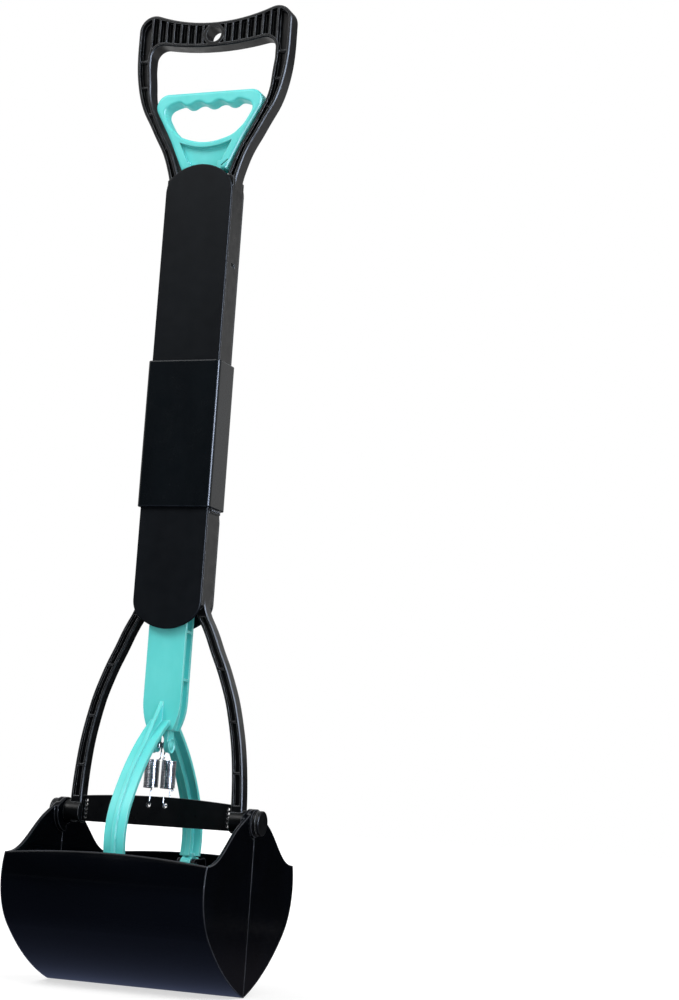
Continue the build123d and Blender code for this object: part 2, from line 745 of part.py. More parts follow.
def jaw(name, way, pin_name):
    deep = 2 * jaw_half_depth
    inner_face = jaw_half_width - jaw_wall
    with BuildPart() as shell:
        with BuildSketch(Plane.YZ.offset(-jaw_half_width)):
            with BuildLine():
                floor, wall, start, end = jaw_curve(way, jaw_rim_rise + overrun)
                Line(wall @ 1, end)
                Line(end, (way * seam_half_gap, end.Y))
                Line((way * seam_half_gap, end.Y), floor @ 0)
            make_face()
        extrude(amount=2 * jaw_half_width)
        with BuildSketch(Plane.YZ.offset(-jaw_half_width)):
            with BuildLine():
                floor, wall, start, end = jaw_curve(way, deep)
                Line(start, floor @ 0)
                Line(wall @ 1, end)
                Line(end, (start.X, end.Y))
                Line((start.X, end.Y), start)
            make_face()
            offset(amount=-jaw_wall, mode=Mode.REPLACE)
        extrude(amount=2 * jaw_half_width, mode=Mode.SUBTRACT)
        with BuildSketch(Plane.XZ):
            with BuildLine():
                ThreePointArc((-jaw_half_width, jaw_top), (0, jaw_top + jaw_rim_rise),
                              (jaw_half_width, jaw_top))
                Polyline((jaw_half_width, jaw_top), (jaw_half_width + overrun, jaw_top),
                         (jaw_half_width + overrun, jaw_top + deep),
                         (-jaw_half_width - overrun, jaw_top + deep),
                         (-jaw_half_width - overrun, jaw_top), (-jaw_half_width, jaw_top))
            make_face()
        extrude(amount=-way * deep, mode=Mode.SUBTRACT)
        for side in (-1, 1):
            with BuildSketch(Plane.YZ.offset(side * inner_face)):
                jaw_side(way)
                with Locations((0, pivot_height)):
                    if way > 0:
                        Circle(ear_radius)
                    else:
                        Circle(ear_relief_radius, mode=Mode.SUBTRACT)
            extrude(amount=side * jaw_wall)
            if way > 0:
                with BuildSketch(Plane.YZ.offset(side * inner_face)):
                    with Locations((0, pivot_height)):
                        Circle(ear_radius)
                extrude(amount=side * (jaw_wall + ear_pad))
            else:
                with BuildSketch(Plane.YZ.offset(side * ear_inner)):
                    jaw_side(way)
                    with Locations((0, pivot_height)):
                        Circle(ear_joggle_radius, mode=Mode.INTERSECT)
                        Circle(ear_radius)
                extrude(amount=side * ear_plate)
                with BuildSketch(Plane.YZ.offset(side * ear_inner)):
                    jaw_side(way)
                    with Locations((0, pivot_height)):
                        Circle(ear_joggle_radius, mode=Mode.INTERSECT)
                        Circle(ear_relief_radius, mode=Mode.SUBTRACT)
                extrude(amount=side * (ear_plate + ear_gap + jaw_wall / 2))
        with BuildSketch(Plane.YZ):
            with Locations((0, pivot_height)):
                Circle(pivot_pin_radius + pin_clearance)
        extrude(amount=2 * jaw_half_width, both=True, mode=Mode.SUBTRACT)
        root = jaw_half_depth - jaw_wall / 2
        for side in (-1, 1):
            with BuildSketch(Plane.YZ.offset(side * (tongue_width / 2 + lug_side_gap))):
                with Locations((way * (lug_reach + root) / 2, lug_height)):
                    Rectangle(root - lug_reach, 2 * lug_radius)
                with Locations((way * lug_reach, lug_height)):
                    Circle(lug_radius)
                    Circle(lug_pin_radius + pin_clearance, mode=Mode.SUBTRACT)
            extrude(amount=side * lug_thickness)
    save(shell.part, name, black)
    lug_span = tongue_width + 2 * (lug_side_gap + lug_thickness)
    with BuildPart() as lug_pin:
        with BuildSketch(Plane.YZ):
            with Locations((way * lug_reach, lug_height)):
                Circle(lug_pin_radius)
        extrude(amount=lug_span / 2, both=True)
    save(lug_pin.part, pin_name, steel)
    return shell.part


front_jaw = jaw("front_jaw", -1, "front_lug_pin")
rear_jaw = jaw("rear_jaw", 1, "rear_lug_pin")


# Side view of the line along a prong, pushed outward by the given amount
def prong_band(way, outward, inward):
    def line_at(push):
        places = (
            (bar_face, prong_root_height, prong_root_push),
            (prong_crown_depth, prong_crown_height, prong_crown_push),
            (prong_knee_depth, prong_knee_height, prong_knee_push),
        )
        line = [(way * (y + push * y_share), z + push * z_share) for y, z, (y_share, z_share) in places]
        return line + [(way * (prong_end_depth + push), prong_end_height)]

    out = line_at(outward)
    inn = line_at(-inward)
    with BuildLine() as outline:
        crown = ThreePointArc(out[0], out[1], out[2])
        TangentArc(out[2], out[3], tangent=crown % 1)
        Line(out[3], inn[3])
        under = ThreePointArc(inn[0], inn[1], inn[2])
        TangentArc(inn[2], inn[3], tangent=under % 1)
        Line(inn[0], out[0])
    make_face(outline.edges())


# Front view of the lower bar, narrowed on each side by the given amount
def bar_profile(trim):
    half_bar = bar_width / 2 - trim
    half_foot = bar_foot_width / 2 - trim / 2
    with BuildLine() as outline:
        Line((-half_bar, bar_head), (half_bar, bar_head))
        Line((half_bar, bar_head), (half_bar, bar_waist_height))
        TangentArc((half_bar, bar_waist_height), (half_foot, bar_foot), tangent=(0, -1))
        Line((half_foot, bar_foot), (-half_foot, bar_foot))
        TangentArc((-half_bar, bar_waist_height), (-half_foot, bar_foot), tangent=(0, -1))
        Line((-half_bar, bar_waist_height), (-half_bar, bar_head))
    make_face(outline.edges())


# Lower bar, fork and spring hanger in one moulding
with BuildPart() as lower_pull_bar:
    for start in (bar_face, -bar_face + bar_plate):
        with BuildSketch(xz_at(start)):
            bar_profile(0)
        extrude(amount=bar_plate)
    with BuildSketch(xz_at(bar_face - bar_plate)):
        bar_profile((bar_width - bar_core_width) / 2)
    extrude(amount=2 * (bar_face - bar_plate))
    bar_rib_count = int((bar_head - bar_waist_height) / bar_rib_pitch)
    with BuildSketch(xz_at(bar_face)):
        with Locations((0, bar_waist_height + bar_rib_rise + (bar_rib_count - 1) * bar_rib_pitch / 2)):
            with GridLocations(1, bar_rib_pitch, 1, bar_rib_count):
                Rectangle(bar_width, bar_rib_width)
    extrude(amount=bar_depth)
    for way in (-1, 1):
        with BuildSketch(Plane.YZ):
            prong_band(way, 0, prong_flange)
        extrude(amount=prong_width / 2, both=True)
        with BuildSketch(Plane.YZ):
            prong_band(way, 0, prong_flange + prong_rib_depth)
        extrude(amount=prong_rib_width / 2, both=True)
        with BuildSketch(Plane.YZ):
            prong_band(way, prong_ridge_height, prong_flange)
            with BuildLine():
                Polyline((way * (bar_face - overrun), fin_top), (way * bar_face, fin_top),
                         (way * fin_foot_depth, prong_crown_height + prong_ridge_height * 2),
                         (way * bar_face, prong_root_height - prong_rib_depth), close=True)
            make_face()
        extrude(amount=prong_ridge_width / 2, both=True)
        slot_in = way * lug_reach
        slot_out = way * (lug_reach + slot_travel)
        tongue_round = slot_half_height + tongue_wall
        with BuildSketch(Plane.YZ):
            with Locations(((slot_in + slot_out) / 2, lug_height)):
                SlotCenterToCenter(slot_travel, 2 * tongue_round)
            with Locations((way * (prong_end_depth - prong_flange),
                            (lug_height + prong_end_height) / 2 + overrun)):
                Rectangle(2 * tongue_wall, prong_end_height - lug_height + 2 * overrun)
        extrude(amount=tongue_width / 2, both=True)
        with BuildSketch(Plane.YZ):
            with Locations(((slot_in + slot_out) / 2, lug_height)):
                SlotCenterToCenter(slot_travel, 2 * slot_half_height)
        extrude(amount=tongue_width, both=True, mode=Mode.SUBTRACT)
    for side in (-1, 1):
        with BuildSketch(Plane.YZ.offset(side * hanger_inner_gap / 2)):
            with Locations((0, (hanger_height + bar_foot + overrun) / 2)):
                Rectangle(2 * hanger_radius, bar_foot + overrun - hanger_height)
            with Locations((0, hanger_height)):
                Circle(hanger_radius)
        extrude(amount=side * hanger_thickness)
    with BuildSketch(Plane.YZ):
        with Locations((0, hanger_height)):
            Circle(hanger_pin_radius + pin_clearance)
    extrude(amount=prong_width, both=True, mode=Mode.SUBTRACT)
    with BuildSketch(Plane.YZ):
        with Locations((fold_depth, fold_height)):
            Circle(bar_knuckle_radius + knuckle_clearance)
    extrude(amount=bar_width, both=True, mode=Mode.SUBTRACT)
    with BuildSketch(Plane.YZ):
        with Locations((fold_depth, fold_height)):
            Circle(bar_knuckle_radius)
        with Locations((fold_depth - bar_knuckle_radius / 2, fold_height - knuckle_root / 2)):
            Rectangle(bar_knuckle_radius, knuckle_root)
    extrude(amount=link_knuckle_width / 2, both=True)
    with BuildSketch(Plane.YZ):
        with Locations((fold_depth, fold_height)):
            Circle(link_pin_radius + pin_clearance)
    extrude(amount=link_knuckle_width, both=True, mode=Mode.SUBTRACT)
save(lower_pull_bar.part, "lower_pull_bar", teal)

with BuildPart() as link_pin:
    with BuildSketch(Plane.YZ):
        with Locations((fold_depth, fold_height)):
            Circle(link_pin_radius)
    extrude(amount=link_total_width / 2, both=True)
save(link_pin.part, "link_pin", steel)

with BuildPart() as hanger_pin:
    with BuildSketch(Plane.YZ):
        with Locations((0, hanger_height)):
            Circle(hanger_pin_radius)
    extrude(amount=hanger_inner_gap / 2 + hanger_thickness, both=True)
save(hanger_pin.part, "hanger_pin", steel)

with BuildPart() as upper_pull_bar:
    upper_foot = fold_height + fold_gap
    upper_head = pull_foot - tenon_gap
    for start in (bar_face, -bar_face + bar_plate):
        with BuildSketch(xz_at(start)):
            with Locations((0, (upper_foot + upper_head) / 2)):
                Rectangle(bar_width, upper_head - upper_foot)
        extrude(amount=bar_plate)
    with BuildSketch(xz_at(bar_face - bar_plate)):
        with Locations((0, (upper_foot + upper_head) / 2)):
            Rectangle(bar_core_width, upper_head - upper_foot)
    extrude(amount=2 * (bar_face - bar_plate))
    upper_rib_count = int((upper_head - upper_foot) / bar_rib_pitch)
    with BuildSketch(xz_at(bar_face)):
        with Locations((0, (upper_foot + upper_head) / 2)):
            with GridLocations(1, bar_rib_pitch, 1, upper_rib_count):
                Rectangle(bar_width, bar_rib_width)
    extrude(amount=bar_depth)
    with BuildSketch(xz_at(tenon_half_thickness)):
        with Locations((0, upper_head + (tenon_length - overrun) / 2)):
            Rectangle(2 * tenon_half_width, tenon_length + overrun)
    extrude(amount=2 * tenon_half_thickness)
    with BuildSketch(Plane.XZ):
        with Locations((0, upper_head + tenon_length / 2)):
            Circle(rivet_radius + pin_clearance)
    extrude(amount=bar_depth, both=True, mode=Mode.SUBTRACT)
    with BuildSketch(Plane.YZ):
        with Locations((fold_depth, fold_height)):
            Circle(bar_knuckle_radius + knuckle_clearance)
    extrude(amount=link_knuckle_width / 2 + knuckle_clearance, both=True, mode=Mode.SUBTRACT)
    for side in (-1, 1):
        start = link_knuckle_width / 2 + knuckle_clearance
        with BuildSketch(Plane.YZ.offset(side * start)):
            with Locations((fold_depth, fold_height)):
                Circle(bar_knuckle_radius)
            with Locations((fold_depth - bar_knuckle_radius / 2, fold_height + knuckle_root / 2)):
                Rectangle(bar_knuckle_radius, knuckle_root)
        extrude(amount=side * (link_total_width / 2 - start))
    with BuildSketch(Plane.YZ):
        with Locations((fold_depth, fold_height)):
            Circle(link_pin_radius + pin_clearance)
    extrude(amount=bar_width, both=True, mode=Mode.SUBTRACT)
save(upper_pull_bar.part, "upper_pull_bar", teal)


# Front view of the pull handle's head, of its neck and of its finger opening
def pull_head():
    with BuildLine() as outline:
        Polyline((-pull_shoulder_half_width, pull_shoulder_height),
                 (-pull_waist_half_width, pull_waist_height), (-pull_corner_half_width, pull_top),
                 (pull_corner_half_width, pull_top), (pull_waist_half_width, pull_waist_height),
                 (pull_shoulder_half_width, pull_shoulder_height), close=True)
    with BuildSketch(mode=Mode.PRIVATE) as head:
        make_face(outline.edges())
        fillet(head.vertices().group_by(Axis.Y)[-1], pull_corner_radius)
        waist = head.vertices().filter_by(lambda v: abs(v.Y - pull_waist_height) < height_tolerance)
        fillet(waist, pull_waist_radius)
    add(head.sketch)


def pull_neck(inset):
    head = pull_shoulder_height + pull_pocket_wall + overrun
    with Locations((0, (head + pull_foot) / 2)):
        Rectangle(2 * (pull_neck_half_width - inset), head - pull_foot)


def finger_opening():
    head = pull_top - pull_bar_band
    start = finger_opening_foot + opening_side_rise
    grips = []
    for step in range(2 * finger_count - 1):
        x = (step - finger_count + 1) * finger_pitch / 2
        grips.append((x, head if step % 2 else head + finger_rise))
    with BuildLine() as outline:
        arc_outline([(-opening_side, start)] + grips + [(opening_side, start)], (0, 1), (0, -1))
        for side in (-1, 1):
            waist = [(side * opening_side * x, finger_opening_foot + z * opening_side_rise)
                     for x, z in opening_waist_shares]
            arc_outline([(side * opening_side, start)] + waist + [(0, finger_opening_foot)],
                        (0, -1), (-side, 0))
    make_face(outline.edges())


with BuildPart() as pull_handle:
    with BuildSketch(xz_at(pull_depth / 2)):
        pull_head()
    extrude(amount=pull_depth)
    for place in (0, -1):
        face = pull_handle.faces().filter_by(Axis.Y).sort_by(Axis.Y)[place]
        fillet(face.outer_wire().edges(), pull_edge_radius)
    with BuildSketch(xz_at(pull_depth / 2)):
        pull_neck(0)
    extrude(amount=pull_depth)
    with BuildSketch(xz_at(pull_depth / 2)):
        finger_opening()
    extrude(amount=pull_depth, mode=Mode.SUBTRACT)
    for place in (0, -1):
        face = pull_handle.faces().filter_by(Axis.Y).sort_by(Axis.Y)[place]
        fillet(face.inner_wires()[0].edges(), finger_edge_radius)
    for front in (True, False):
        face = -pull_depth / 2 if front else pull_depth / 2
        with BuildSketch(xz_at(face)) as pocket:
            pull_head()
            offset(amount=-pull_pocket_wall, mode=Mode.REPLACE)
            pull_neck(pull_pocket_neck_wall)
            with Locations((0, (finger_opening_foot + pull_pocket_foot) / 2)):
                Rectangle(2 * pull_corner_half_width,
                          finger_opening_foot + pull_pocket_bead * 2 - pull_pocket_foot,
                          mode=Mode.INTERSECT)
            with BuildSketch(mode=Mode.PRIVATE) as bead:
                finger_opening()
                offset(amount=pull_pocket_bead, mode=Mode.REPLACE)
            add(bead.sketch, mode=Mode.SUBTRACT)
        depth = pull_pocket_depth
        extrude(amount=-depth if front else depth, mode=Mode.SUBTRACT)
    with BuildSketch(xz_at(-pull_depth / 2)):
        with Locations(Location((slit_place, total_height - slit_drop), slit_angle)):
            Rectangle(slit_length, slit_width)
    extrude(amount=-pull_pocket_depth, mode=Mode.SUBTRACT)
    tenon_top = pull_foot - tenon_gap + tenon_length
    with BuildSketch(xz_at(tenon_half_thickness + tenon_gap)):
        with Locations((0, (pull_foot - overrun + tenon_top + tenon_gap) / 2)):
            Rectangle(2 * (tenon_half_width + tenon_gap), tenon_top + tenon_gap - pull_foot + overrun)
    extrude(amount=2 * (tenon_half_thickness + tenon_gap), mode=Mode.SUBTRACT)
    with BuildSketch(Plane.XZ):
        with Locations((0, pull_foot - tenon_gap + tenon_length / 2)):
            Circle(rivet_radius + pin_clearance)
    extrude(amount=pull_depth, both=True, mode=Mode.SUBTRACT)
save(pull_handle.part, "pull_handle", teal)

with BuildPart() as handle_rivet:
    with BuildSketch(Plane.XZ):
        with Locations((0, pull_foot - tenon_gap + tenon_length / 2)):
            Circle(rivet_radius)
    extrude(amount=pull_depth / 2, both=True)
save(handle_rivet.part, "handle_rivet", steel)


# One unbroken wire: lower hook through the crossbar, coil, and upper hook over the hanger pin
def spring_path(side):
    axis = side * spring_spacing / 2
    down, up = Vector(0, 0, -1), Vector(0, 0, 1)
    hook_low = Vector(axis, 0, spring_hole_height + hook_radius_lower)
    back, front = Vector(0, hook_radius_lower, 0), Vector(0, -hook_radius_lower, 0)
    edges = [Edge.make_line(hook_low + front + up * hook_tail, hook_low + front)]
    edges.append(Edge.make_three_point_arc(hook_low + front, hook_low + down * hook_radius_lower,
                                           hook_low + back))
    leg_head = Vector(axis, hook_radius_lower, lower_leg_head)
    edges.append(Edge.make_line(hook_low + back, leg_head))
    steps = round(coil_turns * coil_steps_per_turn)
    slope = coil_pitch / (2 * pi * coil_radius)

    def coil(step):
        turn = step / coil_steps_per_turn
        angle = 2 * pi * (coil_start_turn + turn)
        point = Vector(axis + side * coil_radius * cos(angle), coil_radius * sin(angle),
                       coil_foot + coil_pitch * turn)
        way = Vector(-side * sin(angle), cos(angle), slope).normalized()
        return point, way

    edges += biarc(leg_head, up, *coil(0))
    for step in range(steps):
        edges += biarc(*coil(step), *coil(step + 1))
    leg_foot = Vector(side * upper_hook_place, hook_radius_upper, upper_leg_foot)
    edges += biarc(*coil(steps), leg_foot, up)
    hook_top = Vector(side * upper_hook_place, 0, hanger_height)
    back, front = Vector(0, hook_radius_upper, 0), Vector(0, -hook_radius_upper, 0)
    edges.append(Edge.make_line(leg_foot, hook_top + back))
    edges.append(Edge.make_three_point_arc(hook_top + back, hook_top + up * hook_radius_upper,
                                           hook_top + front))
    edges.append(Edge.make_line(hook_top + front, hook_top + front + down * hook_tail))
    return edges


def least_gap(edges):
    points, along = [], 0.0
    for edge in edges:
        count = max(2, int(edge.length / wire_radius))
        for step in range(count):
            points.append((edge @ (step / count), along + edge.length * step / count))
        along += edge.length
    gap = along
    for place, (point, here) in enumerate(points):
        for other, there in points[place + 1:]:
            if there - here > 3 * pi * wire_radius:
                gap = min(gap, (other - point).length)
    return gap - 2 * wire_radius


for side, name in ((-1, "left_spring"), (1, "right_spring")):
    path = spring_path(side)
    tightest = min(edge.radius for edge in path if edge.geom_type == GeomType.CIRCLE)
    print(name, "least gap", round(least_gap(path), 2), "tightest bend", round(tightest, 2))
    with BuildPart() as spring:
        with BuildLine() as route:
            for edge in path:
                add(edge)
        with BuildSketch(Plane(origin=path[0] @ 0, z_dir=path[0] % 0)):
            Circle(wire_radius)
        sweep(path=route.line)
    length = sum(edge.length for edge in path)
    print(name, "wire length", round(length, 1), "volume share",
          round(spring.part.volume / (length * pi * wire_radius ** 2), 3))
    save(spring.part, name, steel)
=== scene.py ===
import bpy, bmesh, math
from mathutils import Matrix, Vector


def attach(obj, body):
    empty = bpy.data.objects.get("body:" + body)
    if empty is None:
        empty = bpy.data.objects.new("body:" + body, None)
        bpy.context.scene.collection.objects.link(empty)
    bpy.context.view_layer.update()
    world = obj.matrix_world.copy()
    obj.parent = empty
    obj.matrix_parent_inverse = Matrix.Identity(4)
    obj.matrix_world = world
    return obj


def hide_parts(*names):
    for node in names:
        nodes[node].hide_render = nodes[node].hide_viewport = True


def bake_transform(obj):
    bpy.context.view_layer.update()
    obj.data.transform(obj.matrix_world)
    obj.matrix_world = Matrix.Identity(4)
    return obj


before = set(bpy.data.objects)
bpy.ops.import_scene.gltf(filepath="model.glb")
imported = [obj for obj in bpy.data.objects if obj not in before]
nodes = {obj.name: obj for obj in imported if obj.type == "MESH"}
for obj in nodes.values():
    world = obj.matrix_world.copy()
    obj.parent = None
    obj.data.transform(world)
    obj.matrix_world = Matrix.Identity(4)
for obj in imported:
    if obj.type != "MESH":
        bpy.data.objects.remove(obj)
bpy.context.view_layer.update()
mm = 0.001
print("frame loaded:", len(nodes), "nodes")


def colour(code):  # sRGB hex to linear, with full alpha
    parts = [int(code[i:i + 2], 16) / 255 for i in (0, 2, 4)]
    return [p / 12.92 if p <= 0.04045 else ((p + 0.055) / 1.055) ** 2.4 for p in parts] + [1.0]


def addPiece(name, data):
    piece = bpy.data.objects.new(name, data)
    bpy.context.scene.collection.objects.link(piece)
    return piece


def addNode(tree, kind, place=(0, 0), **settings):
    node = tree.nodes.new(kind)
    node.location = (place[0] * 200, place[1] * 160)
    for name, value in settings.items():
        setattr(node, name, value)
    return node


def emptyTree(owner):  # the cleared node tree of a material or a world
    owner.use_nodes = True
    owner.node_tree.nodes.clear()
    return owner.node_tree


def ramp(tree, source, place, stops):  # stops: (position, linear colour)
    node = addNode(tree, "ShaderNodeValToRGB", place)
    bar = node.color_ramp
    while len(bar.elements) < len(stops):
        bar.elements.new(0.5)
    for element, (position, tone) in zip(bar.elements, stops):
        element.position = position
        element.color = tone
    tree.links.new(source, node.inputs["Fac"])
    return node.outputs["Color"]


def noise(tree, coords, place, sizeMm, detail=2.0, rough=0.5, stretch=(1, 1, 1)):
    mapping = addNode(tree, "ShaderNodeMapping", (place[0] - 1, place[1]))
    mapping.inputs["Scale"].default_value = stretch
    tree.links.new(coords, mapping.inputs["Vector"])
    node = addNode(tree, "ShaderNodeTexNoise", place)
    node.inputs["Scale"].default_value = 1 / (sizeMm * mm)
    node.inputs["Detail"].default_value = detail
    node.inputs["Roughness"].default_value = rough
    tree.links.new(mapping.outputs["Vector"], node.inputs["Vector"])
    return node.outputs["Fac"]


def spread(tree, source, place, span, to, **settings):  # a value taken from one span to another
    node = addNode(tree, "ShaderNodeMapRange", place, **settings)
    node.inputs["From Min"].default_value, node.inputs["From Max"].default_value = span
    node.inputs["To Min"].default_value, node.inputs["To Max"].default_value = to
    tree.links.new(source, node.inputs["Value"])
    return node.outputs["Result"]


def bump(tree, height, place, strength, depthMm, normal=None):
    node = addNode(tree, "ShaderNodeBump", place)
    node.inputs["Strength"].default_value = strength
    node.inputs["Distance"].default_value = depthMm * mm
    tree.links.new(height, node.inputs["Height"])
    if normal is not None:
        tree.links.new(normal, node.inputs["Normal"])
    return node.outputs["Normal"]


# What every plastic starts from. The key after samples is the least share of the light edge colour,
# part scuffing and part painted highlight, glowDepth is in mm, edgeTurn is the cosine between the face's
# normal and the rounded one, from a flat to a full edge, and the other spans are values of the noise
plasticBase = {"samples": 6, "rubbedAndLit": 0.35, "glow": 0, "glowDepth": 2, "toneSpan": (0.3, 0.72),
               "rubbedAndLitSpan": (0.3, 0.62), "roughSpan": (0.3, 0.7), "edgeTurn": (0.995, 0.86)}


# Moulded plastic: flow mottle in the colour, polished and dull patches, a fine spark-eroded
# grain, long draw marks, and rounded edges painted a little lighter, part scuffing and part painted
# highlight
def mouldedPlastic(name, wanted):
    look = {**plasticBase, **wanted}
    material = bpy.data.materials.new(name)
    tree = emptyTree(material)
    out = addNode(tree, "ShaderNodeOutputMaterial", (8, 0))
    shader = addNode(tree, "ShaderNodeBsdfPrincipled", (7, 0))
    tree.links.new(shader.outputs["BSDF"], out.inputs["Surface"])
    coords = addNode(tree, "ShaderNodeTexCoord", (-3, 0)).outputs["Object"]
    mottle = noise(tree, coords, (0, 2), look["mottle"], 3, 0.55, look["flow"])
    low, high = look["toneSpan"]
    tone = ramp(tree, mottle, (1, 2), [(low, colour(look["dark"])), (high, colour(look["light"]))])
    bevel = addNode(tree, "ShaderNodeBevel", (3, -2), samples=look["samples"])
    bevel.inputs["Radius"].default_value = look["edge"] * mm
    geometry = addNode(tree, "ShaderNodeNewGeometry", (1, -3))
    # Edges, where the rounded normal turns from the face's own, take a lighter colour: part scuffing, part
    # a painted highlight
    turn = addNode(tree, "ShaderNodeVectorMath", (4, -3), operation="DOT_PRODUCT")
    tree.links.new(bevel.outputs["Normal"], turn.inputs[0])
    tree.links.new(geometry.outputs["Normal"], turn.inputs[1])
    wornAndLitEdge = spread(tree, turn.outputs["Value"], (5, -3), look["edgeTurn"], (0, 1))
    patch = noise(tree, coords, (0, 0), look["patch"], 3, 0.6)
    rubbedAndLit = spread(tree, patch, (2, 1), look["rubbedAndLitSpan"], (look["rubbedAndLit"], 1))
    wearAndHighlight = addNode(tree, "ShaderNodeMath", (5, 1), operation="MULTIPLY")
    tree.links.new(wornAndLitEdge, wearAndHighlight.inputs[0])
    tree.links.new(rubbedAndLit, wearAndHighlight.inputs[1])
    mix = addNode(tree, "ShaderNodeMix", (6, 2), data_type="RGBA")
    tree.links.new(wearAndHighlight.outputs["Value"], mix.inputs["Factor"])
    tree.links.new(tone, mix.inputs["A"])
    mix.inputs["B"].default_value = colour(look["wornAndLitEdge"])
    tree.links.new(mix.outputs["Result"], shader.inputs["Base Color"])
    rough = spread(tree, patch, (2, 0), look["roughSpan"], look["rough"])
    tree.links.new(rough, shader.inputs["Roughness"])
    grain = noise(tree, coords, (0, -1), look["grain"], 2, 0.6)
    draw = noise(tree, coords, (0, -2), look["draw"], 2, 0.5, look["drawWay"])
    grained = bump(tree, grain, (5, -1), look["grainStrength"], look["grainDepth"], bevel.outputs["Normal"])
    drawn = bump(tree, draw, (6, -1), look["drawStrength"], look["drawDepth"], grained)
    tree.links.new(drawn, shader.inputs["Normal"])
    shader.inputs["Specular IOR Level"].default_value = look["specular"]
    shader.inputs["Subsurface Weight"].default_value = look["glow"]
    shader.inputs["Subsurface Scale"].default_value = look["glowDepth"] * mm
    return material


# Covers: a matte, spark-eroded skin, blue-grey more than black, with a soft even sheen and edges painted a
# little lighter, part scuffing and part painted highlight
coverLook = dict(dark="070a0e", light="0c1014", wornAndLitEdge="2b3036", mottle=26, flow=(1, 1, 0.25), patch=9,
                 edge=0.8, rough=(0.37, 0.44), grain=0.55, grainStrength=0.3, grainDepth=0.05,
                 draw=1.6, drawWay=(1, 1, 0.02), drawStrength=0.12, drawDepth=0.05, specular=0.1)
# Rails, arms, handle and crossbar: blacker and glossier, with draw lines and edges painted light, part
# scuffing and part painted highlight
bodyLook = dict(dark="060708", light="0c0d0e", wornAndLitEdge="7d8084", mottle=14, flow=(1, 1, 0.15), patch=7,
                edge=0.7, rough=(0.26, 0.4), grain=0.6, grainStrength=0.25, grainDepth=0.05,
                draw=1.1, drawWay=(1, 1, 0.02), drawStrength=0.25, drawDepth=0.08, specular=0.12)
# Sleeve: smoother, with a wide rounded edge that catches a thin bluish line from the strip lamp, over a
# bluish highlight painted on the edge
sleeveLook = dict(dark="070b0f", light="0b1014", wornAndLitEdge="454c55", mottle=22, flow=(1, 1, 0.3), patch=10,
                  edge=1.5, rough=(0.23, 0.28), grain=0.5, grainStrength=0.15, grainDepth=0.04,
                  draw=1.4, drawWay=(1, 1, 0.03), drawStrength=0.08, drawDepth=0.04, specular=0.14,
                  samples=14)
# Jaws: polished and near black, with slow waves that soften reflections and a thin grey highlight painted
# on the edges, with a little scuffing
jawLook = dict(dark="020305", light="05070c", wornAndLitEdge="4a4d54", mottle=60, flow=(0.4, 1, 1), patch=30,
               edge=1.8, rough=(0.1, 0.18), grain=2.2, grainStrength=0.08, grainDepth=0.05,
               draw=16, drawWay=(0.3, 1, 1), drawStrength=0.12, drawDepth=0.3, specular=0.05,
               samples=14, rubbedAndLit=0.15)
# Pull parts: bright satin teal with edges painted pale, part scuffing and part painted highlight, where a
# little light passes under the skin
tealLook = dict(dark="57d2cf", light="69dedc", wornAndLitEdge="a6f0ed", mottle=18, flow=(1, 1, 0.4), patch=8,
                edge=0.8, rough=(0.34, 0.48), grain=0.6, grainStrength=0.25, grainDepth=0.05,
                draw=1.5, drawWay=(1, 1, 0.03), drawStrength=0.15, drawDepth=0.06, specular=0.3,
                glow=0.05)
coverPlastic = mouldedPlastic("matte black polypropylene", coverLook)
bodyPlastic = mouldedPlastic("black polypropylene", bodyLook)
sleevePlastic = mouldedPlastic("black sleeve polypropylene", sleeveLook)
jawPlastic = mouldedPlastic("polished black polypropylene", jawLook)
tealPlastic = mouldedPlastic("teal polypropylene", tealLook)

steelBase = {"toneSpan": (0.32, 0.66), "roughSpan": (0.3, 0.7), "lineDepth": 0.02}


# Drawn steel wire or pin: lengthwise draw lines, zinc spangle and dull spots
def drawnSteel(name, wanted):
    look = {**steelBase, **wanted}
    material = bpy.data.materials.new(name)
    tree = emptyTree(material)
    out = addNode(tree, "ShaderNodeOutputMaterial", (5, 0))
    shader = addNode(tree, "ShaderNodeBsdfPrincipled", (4, 0))
    tree.links.new(shader.outputs["BSDF"], out.inputs["Surface"])
    shader.inputs["Metallic"].default_value = 1.0
    coords = addNode(tree, "ShaderNodeTexCoord", (-3, 0)).outputs["Object"]
    spangle = noise(tree, coords, (0, 1), look["spangle"], 3, 0.6)
    low, high = look["toneSpan"]
    tone = ramp(tree, spangle, (1, 1), [(low, colour(look["dark"])), (high, colour(look["light"]))])
    tree.links.new(tone, shader.inputs["Base Color"])
    rough = spread(tree, spangle, (2, 0), look["roughSpan"], look["rough"])
    tree.links.new(rough, shader.inputs["Roughness"])
    lines = noise(tree, coords, (0, -1), look["lines"], 2, 0.5, look["lineWay"])
    lined = bump(tree, lines, (3, -1), look["lineStrength"], look["lineDepth"])
    tree.links.new(lined, shader.inputs["Normal"])
    return material


# Springs: bright zinc wire, nearly smooth, so that each turn mirrors light and dark
zincLook = dict(dark="707377", light="a6a9ac", spangle=3.0, rough=(0.16, 0.26), lines=0.5,
                lineWay=(1, 1, 1), lineStrength=0.03)
# Pins: duller grey steel with fine lines along the pin
pinLook = dict(dark="77797c", light="aeb0b3", spangle=2.0, rough=(0.25, 0.4), lines=0.3,
               lineWay=(0.05, 1, 1), lineStrength=0.3)
zincWire = drawnSteel("zinc plated spring steel", zincLook)
pinSteel = drawnSteel("drawn steel", pinLook)

